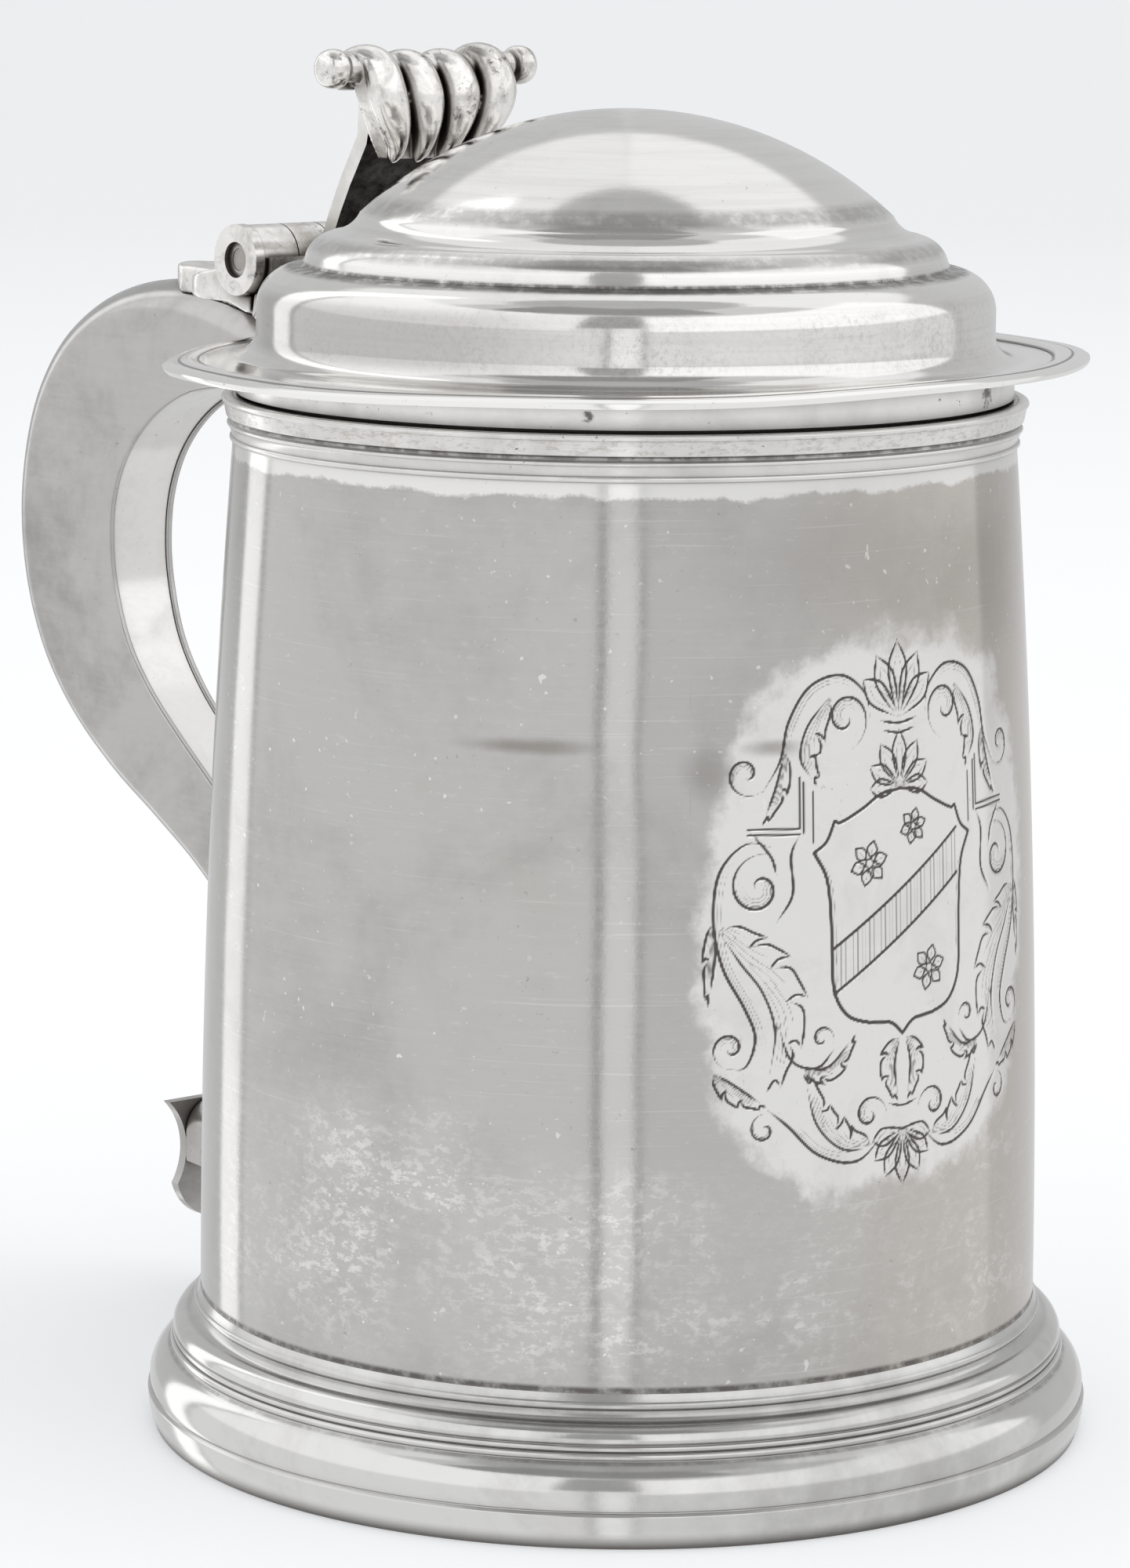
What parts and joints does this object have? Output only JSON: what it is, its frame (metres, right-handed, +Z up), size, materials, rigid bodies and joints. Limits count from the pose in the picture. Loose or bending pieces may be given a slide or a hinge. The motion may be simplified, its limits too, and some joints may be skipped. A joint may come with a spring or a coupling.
{
  "type": "lidded tankard",
  "caption": "Silver tankard with a tapering drum on a moulded foot, a hollow scroll handle and a hinged domed lid with a reeded scroll thumbpiece.",
  "frame": {"origin": "centre of the foot where it stands on the table, on the axis of the drum", "axes": "+Z up along the drum, -X towards the handle, +X towards the engraved front, Y along the hinge pin"},
  "size_m": [0.2015, 0.127, 0.1832],
  "materials": {
    "silver_body": "old silver, softly polished, fine scratches running round the drum and thin warm grey tarnish",
    "silver_foot": "old silver, brighter on the rounded mouldings and dark with tarnish in the grooves",
    "silver_lid": "old silver, smooth polish, small dents, tarnish speckles in the step and reeding",
    "silver_hinge": "old silver, worn round, nearly black tarnish where the plates meet",
    "tarnished_pin": "dark, pitted end grain of the hinge pin",
    "silver_handle": "old silver, hand smooth, small dings, warm grey tarnish",
    "silver_thumbpiece": "cast silver, bright on the reeds and nearly black between them"
  },
  "bodies": {
    "tankard": {"drum": "silver_body", "floor_disc": "silver_body", "foot_ring": "silver_foot", "rim_moulding": "silver_body", "handle_knuckle_near": "silver_hinge", "handle_knuckle_middle": "silver_hinge", "handle_knuckle_far": "silver_hinge", "hinge_pin": "tarnished_pin", "hinge_cheek_near": "silver_hinge", "hinge_cheek_far": "silver_hinge", "handle_back": "silver_handle", "handle_strip": "silver_handle", "handle_terminal": "silver_handle", "hinge_bracket": "silver_hinge"},
    "lid": {"lid_dome": "silver_lid", "flange_reeding": "silver_lid", "lid_bezel": "silver_lid", "lid_knuckle_near": "silver_hinge", "lid_knuckle_far": "silver_hinge", "lid_hinge_leaf": "silver_hinge", "thumb_standard": "silver_thumbpiece", "thumb_scroll": "silver_thumbpiece", "thumb_knob_near": "silver_thumbpiece", "thumb_knob_far": "silver_thumbpiece"}
  },
  "joints": [
    {"name": "lid_hinge", "type": "hinge", "parent": "tankard", "child": "lid", "pos_m": [-0.0644, 0, 0.1529], "axis": [0, -1, 0], "range_deg": [0, 125]}
  ]
}
